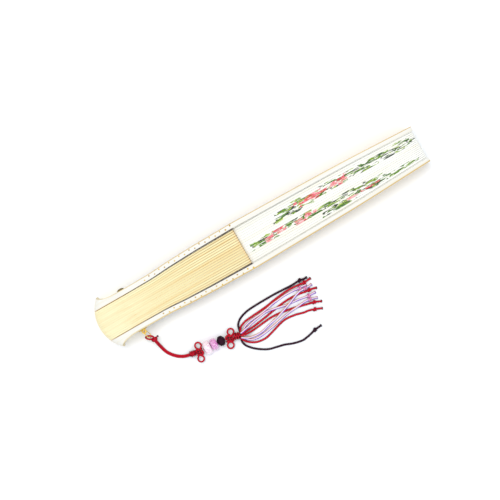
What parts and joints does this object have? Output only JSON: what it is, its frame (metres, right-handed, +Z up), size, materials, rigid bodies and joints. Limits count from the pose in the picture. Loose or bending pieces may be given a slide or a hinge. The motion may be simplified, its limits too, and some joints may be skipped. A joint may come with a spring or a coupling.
{
  "type": "paper hand fan",
  "caption": "Folding paper hand fan with thin bamboo ribs and a pleated leaf, closed and lying on its edge, with a knotted cord and bead tassel on its rivet.",
  "frame": {"origin": "under the middle of the closed fan, on the surface that it lies on", "axes": "+X along the closed fan from the head at the rivet to the tip of the leaf, +Y along the rivet from the near guard, which carries the tassel, to the far guard, +Z up, across the sticks' width"},
  "size_m": [0.2301, 0.0874, 0.018],
  "materials": {
    "bamboo": "satin",
    "pale_bamboo": "satin",
    "printed_paper": "matte",
    "brass": "polished",
    "red_cord": "satin",
    "pale_cord": "satin",
    "plum_cord": "satin",
    "pink_bead": "gloss",
    "orchid_bead": "gloss"
  },
  "bodies": {
    "near_guard_body": {"near_guard": "pale_bamboo", "rivet_eye_pin": "brass", "near_washer": "brass", "far_cap": "brass", "pleat_00": "printed_paper"},
    "rib_01_body": {"rib_01": "bamboo", "pleat_01": "printed_paper"},
    "rib_02_body": {"rib_02": "bamboo", "pleat_02": "printed_paper"},
    "rib_03_body": {"rib_03": "bamboo", "pleat_03": "printed_paper"},
    "rib_04_body": {"rib_04": "bamboo", "pleat_04": "printed_paper"},
    "rib_05_body": {"rib_05": "bamboo", "pleat_05": "printed_paper"},
    "rib_06_body": {"rib_06": "bamboo", "pleat_06": "printed_paper"},
    "rib_07_body": {"rib_07": "bamboo", "pleat_07": "printed_paper"},
    "rib_08_body": {"rib_08": "bamboo", "pleat_08": "printed_paper"},
    "rib_09_body": {"rib_09": "bamboo", "pleat_09": "printed_paper"},
    "rib_10_body": {"rib_10": "bamboo", "pleat_10": "printed_paper"},
    "rib_11_body": {"rib_11": "bamboo", "pleat_11": "printed_paper"},
    "rib_12_body": {"rib_12": "bamboo", "pleat_12": "printed_paper"},
    "rib_13_body": {"rib_13": "bamboo", "pleat_13": "printed_paper"},
    "rib_14_body": {"rib_14": "bamboo", "pleat_14": "printed_paper"},
    "rib_15_body": {"rib_15": "bamboo", "pleat_15": "printed_paper"},
    "rib_16_body": {"rib_16": "bamboo", "pleat_16": "printed_paper"},
    "far_guard_body": {"far_guard": "pale_bamboo", "end_panel": "printed_paper"},
    "tassel_body": {"link": "brass", "hanger_cord": "red_cord", "hitch_knot": "red_cord", "collar_upper": "red_cord", "clover_knot_upper": "red_cord", "bead_pink": "pink_bead", "bead_orchid": "orchid_bead", "bead_plum_ball": "plum_cord", "bead_cord": "red_cord", "clover_knot_lower": "red_cord", "collar_lower": "red_cord", "strand_plum_upper": "plum_cord", "strand_red_upper": "red_cord", "strand_pale_upper": "pale_cord", "strand_pale_over": "pale_cord", "strand_red_middle": "red_cord", "strand_red_crossed": "red_cord", "strand_pale_crossing": "pale_cord", "strand_pale_lower": "pale_cord", "strand_red_lower": "red_cord", "strand_plum_lower": "plum_cord"}
  },
  "joints": [
    {"name": "fan_open", "type": "hinge", "parent": "near_guard_body", "child": "rib_01_body", "pos_m": [-0.09255, 0, 0.009], "axis": [0, -1, 0], "range_deg": [0, 9.2]},
    {"name": "rib_02_turn", "type": "hinge", "parent": "rib_01_body", "child": "rib_02_body", "pos_m": [-0.09255, 0, 0.009], "axis": [0, -1, 0], "range_deg": [0, 9.2]},
    {"name": "rib_03_turn", "type": "hinge", "parent": "rib_02_body", "child": "rib_03_body", "pos_m": [-0.09255, 0, 0.009], "axis": [0, -1, 0], "range_deg": [0, 9.2]},
    {"name": "rib_04_turn", "type": "hinge", "parent": "rib_03_body", "child": "rib_04_body", "pos_m": [-0.09255, 0, 0.009], "axis": [0, -1, 0], "range_deg": [0, 9.2]},
    {"name": "rib_05_turn", "type": "hinge", "parent": "rib_04_body", "child": "rib_05_body", "pos_m": [-0.09255, 0, 0.009], "axis": [0, -1, 0], "range_deg": [0, 9.2]},
    {"name": "rib_06_turn", "type": "hinge", "parent": "rib_05_body", "child": "rib_06_body", "pos_m": [-0.09255, 0, 0.009], "axis": [0, -1, 0], "range_deg": [0, 9.2]},
    {"name": "rib_07_turn", "type": "hinge", "parent": "rib_06_body", "child": "rib_07_body", "pos_m": [-0.09255, 0, 0.009], "axis": [0, -1, 0], "range_deg": [0, 9.2]},
    {"name": "rib_08_turn", "type": "hinge", "parent": "rib_07_body", "child": "rib_08_body", "pos_m": [-0.09255, 0, 0.009], "axis": [0, -1, 0], "range_deg": [0, 9.2]},
    {"name": "rib_09_turn", "type": "hinge", "parent": "rib_08_body", "child": "rib_09_body", "pos_m": [-0.09255, 0, 0.009], "axis": [0, -1, 0], "range_deg": [0, 9.2]},
    {"name": "rib_10_turn", "type": "hinge", "parent": "rib_09_body", "child": "rib_10_body", "pos_m": [-0.09255, 0, 0.009], "axis": [0, -1, 0], "range_deg": [0, 9.2]},
    {"name": "rib_11_turn", "type": "hinge", "parent": "rib_10_body", "child": "rib_11_body", "pos_m": [-0.09255, 0, 0.009], "axis": [0, -1, 0], "range_deg": [0, 9.2]},
    {"name": "rib_12_turn", "type": "hinge", "parent": "rib_11_body", "child": "rib_12_body", "pos_m": [-0.09255, 0, 0.009], "axis": [0, -1, 0], "range_deg": [0, 9.2]},
    {"name": "rib_13_turn", "type": "hinge", "parent": "rib_12_body", "child": "rib_13_body", "pos_m": [-0.09255, 0, 0.009], "axis": [0, -1, 0], "range_deg": [0, 9.2]},
    {"name": "rib_14_turn", "type": "hinge", "parent": "rib_13_body", "child": "rib_14_body", "pos_m": [-0.09255, 0, 0.009], "axis": [0, -1, 0], "range_deg": [0, 9.2]},
    {"name": "rib_15_turn", "type": "hinge", "parent": "rib_14_body", "child": "rib_15_body", "pos_m": [-0.09255, 0, 0.009], "axis": [0, -1, 0], "range_deg": [0, 9.2]},
    {"name": "rib_16_turn", "type": "hinge", "parent": "rib_15_body", "child": "rib_16_body", "pos_m": [-0.09255, 0, 0.009], "axis": [0, -1, 0], "range_deg": [0, 9.2]},
    {"name": "far_guard_turn", "type": "hinge", "parent": "rib_16_body", "child": "far_guard_body", "pos_m": [-0.09255, 0, 0.009], "axis": [0, -1, 0], "range_deg": [0, 9.2]},
    {"name": "tassel_swing", "type": "hinge", "parent": "near_guard_body", "child": "tassel_body", "pos_m": [-0.09255, -0.01573, 0.009], "axis": [0, 0, 1], "range_deg": [-75, 6]}
  ],
  "couplings": [
    {"joint": "rib_02_turn", "follows": "fan_open", "ratio": 1},
    {"joint": "rib_03_turn", "follows": "fan_open", "ratio": 1},
    {"joint": "rib_04_turn", "follows": "fan_open", "ratio": 1},
    {"joint": "rib_05_turn", "follows": "fan_open", "ratio": 1},
    {"joint": "rib_06_turn", "follows": "fan_open", "ratio": 1},
    {"joint": "rib_07_turn", "follows": "fan_open", "ratio": 1},
    {"joint": "rib_08_turn", "follows": "fan_open", "ratio": 1},
    {"joint": "rib_09_turn", "follows": "fan_open", "ratio": 1},
    {"joint": "rib_10_turn", "follows": "fan_open", "ratio": 1},
    {"joint": "rib_11_turn", "follows": "fan_open", "ratio": 1},
    {"joint": "rib_12_turn", "follows": "fan_open", "ratio": 1},
    {"joint": "rib_13_turn", "follows": "fan_open", "ratio": 1},
    {"joint": "rib_14_turn", "follows": "fan_open", "ratio": 1},
    {"joint": "rib_15_turn", "follows": "fan_open", "ratio": 1},
    {"joint": "rib_16_turn", "follows": "fan_open", "ratio": 1},
    {"joint": "far_guard_turn", "follows": "fan_open", "ratio": 1}
  ]
}
